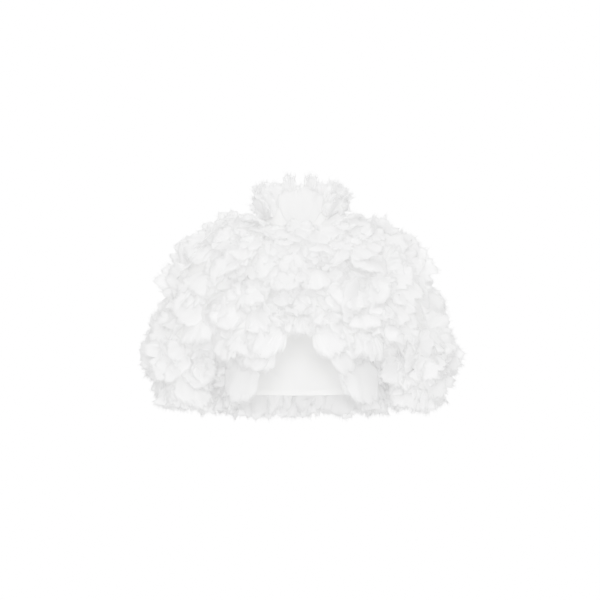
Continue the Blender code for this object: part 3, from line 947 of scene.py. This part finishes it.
def on_the_front(x, height):
    """Where a petal is sewn, straight behind a point of the front view."""
    tree = OUTER["torso"] if abs(x) < TORSO_HALF and height < TORSO_TOP else OUTER["all"]
    point, out, _, _ = tree.ray_cast(Vector((x * MM, FAR_FRONT, height * MM)), Vector((0, 1, 0)))
    down = Vector((0, 0, -1))
    return point, out, (down - out * down.dot(out)).normalized()


rng = np.random.default_rng(HAND_SEED)
hand_rows = [(piece, *row) for piece, rows in HAND_TABLE.items() for row in rows]
for piece, x, height, twist, lift, length, *shape in hand_rows:
    for side, mirror in (("left", 1), ("right", -1)):
        spot = on_the_front(mirror * x, height)
        for layer in (0, 1):
            turn = mirror * twist + layer * rng.choice((-1, 1)) * rng.uniform(*UNDER_TURN)
            tilt = lift - UNDER_DROP * layer + rng.normal(0, 2)
            cut = length * (1 - UNDER_SHORTER * layer) * rng.uniform(0.96, 1.04)
            sow(piece.format(side), spot, turn, tilt, cut, *shape)
print("petals placed by hand:", len(hand_rows) * 4)

# %% [markdown]
# Round the stand collar the petals stand up and out as a ruff, so the way down the cloth is turned round.
# One broad plain petal covers centre front, and two tight pleated ones stand on each side of it.

# %% Collar petals
COLLAR_LINES = (
    # piece, kind, from and to in degrees, stitches, height above the seam and length in mm, lift in degrees
    ("collar_petals_lower", "broad", 44, 316, 9, 8, 50, 26),
    ("collar_petals_lower", "fluted", 52, 308, 9, 18, 40, 44),
    ("collar_petals_upper_left", "broad", 46, 172, 5, 28, 46, 36),
    ("collar_petals_upper_left", "fluted", 38, 170, 6, 44, 31, 38),
    ("collar_petals_upper_right", "broad", -172, -46, 5, 28, 46, 36),
    ("collar_petals_upper_right", "fluted", -170, -38, 6, 44, 31, 38),
)
COLLAR_SEED, ANGLE_JITTER, HEIGHT_JITTER, COLLAR_TURN = 320, 6, 3, (8, 36)


def on_the_collar(angle, height):
    """Where a petal is sewn on the stand, so many mm above the neck seam, with its length running up."""
    seam = yoke_point(math.radians(angle), 0).z / MM
    point, out, down = sewn_at("collar", math.radians(angle), seam + height)
    return point, out, -down


rng = np.random.default_rng(COLLAR_SEED)
for piece, kind, begin, stop, count, height, length, lift in COLLAR_LINES:
    for i in range(count):
        angle = begin + (stop - begin) * (i + 0.5) / count + rng.uniform(-ANGLE_JITTER, ANGLE_JITTER)
        spot = on_the_collar(angle, height + rng.uniform(-HEIGHT_JITTER, HEIGHT_JITTER))
        for way in rng.permutation((-1, 1)):
            turn, tilt = way * rng.uniform(*COLLAR_TURN), lift + rng.normal(0, 6)
            sow(piece, spot, turn, tilt, length * rng.uniform(0.9, 1.06), *drawn_shape(rng, kind))
sow("collar_petal_front", on_the_collar(1, 4), 0, 16, 70, 45, 2.0, -9, -3)
for side, mirror in (("left", 1), ("right", -1)):
    for twist in (-6, 5):
        sow("collar_petal_crown_" + side, on_the_collar(mirror * 21, 62), mirror * twist, 6, 36, 21, 7, 0, 2)
print("petals in all:", sum(len(petals) for petals in sown.values()))

# %% [markdown]
# Now each list becomes a piece in place of its solid row. Some forms are special: tight pleats beside the
# collar's centre, a broad plain petal with a flat top over it, and full sides at the front corners. The
# collar and the back hem are torn less or shed fewer threads. The broad one, the corners and the back hem
# lie alone, so they get the greyer organza, whose greyer whites are painted shade.

# %% Petal pieces
PIECE_SEED, FRAYED_THREADS = 500, 90
PAINTED_SHADE_PIECES = ("collar_petal_front", "front_petal_left_hem", "front_petal_right_hem", "back_petals_hem")
TIGHT_PLEATS = {"folds": (4, 5, 6, 7), "arch": 0.5, "threads": 24}
FULL_SIDES = {"rounding": 0.5, "corner": 0.5, "torn": 0.4}
LESS_TORN = {"torn": 0.6, "threads": 30}
SPECIAL = {
    "collar_petal_front": {"rounding": 0.4, "arch": 0.3, "corner": 0.2, "torn": 0.3},
    "collar_petal_crown_left": TIGHT_PLEATS,
    "collar_petal_crown_right": TIGHT_PLEATS,
    "collar_petals_lower": {"threads": 44},
    "collar_petals_upper_left": LESS_TORN,
    "collar_petals_upper_right": LESS_TORN,
    "front_petal_left_hem": FULL_SIDES,
    "front_petal_right_hem": FULL_SIDES,
    "back_petals_hem": {"torn": 0.5, "threads": 70},
}


def make_petals(piece, seed):
    """All the sown petals of one piece, as one mesh that stands for its solid."""
    rng = np.random.default_rng(seed)
    spots, twists, lifts, *shape = zip(*sown[piece])
    form = {"threads": FRAYED_THREADS, **SPECIAL.get(piece, {})}
    threads = form.pop("threads")
    local = fans(rng, *shape, **form)
    points = kept_outside(stand_on_cloth(local, *zip(*spots), twists, lifts))
    name = piece + "_cloth"
    # Petals that lie alone take the greyer organza, which is painted shade.
    finish = shaded_single_organza if piece in PAINTED_SHADE_PIECES else petal_organza
    made = linked(name, petal_mesh(name, rng, local, points, threads), finish)
    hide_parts(piece)
    print(name, len(sown[piece]), "petals,", len(made.data.polygons), "faces")
    return made


petals = {piece: make_petals(piece, PIECE_SEED + seed) for seed, piece in enumerate(sown)}

# %% [markdown]
# The bolero hangs on a wearer who isn't here, so it rests on nothing in the scene.


# %% [markdown]
# The triangles that the new pieces add are counted.

# %% Triangles added
added = [piece for made in (panel, stitches, petals) for piece in made.values()]
triangles = sum(len(face.vertices) - 2 for piece in added for face in piece.data.polygons)
print("triangles added:", triangles)
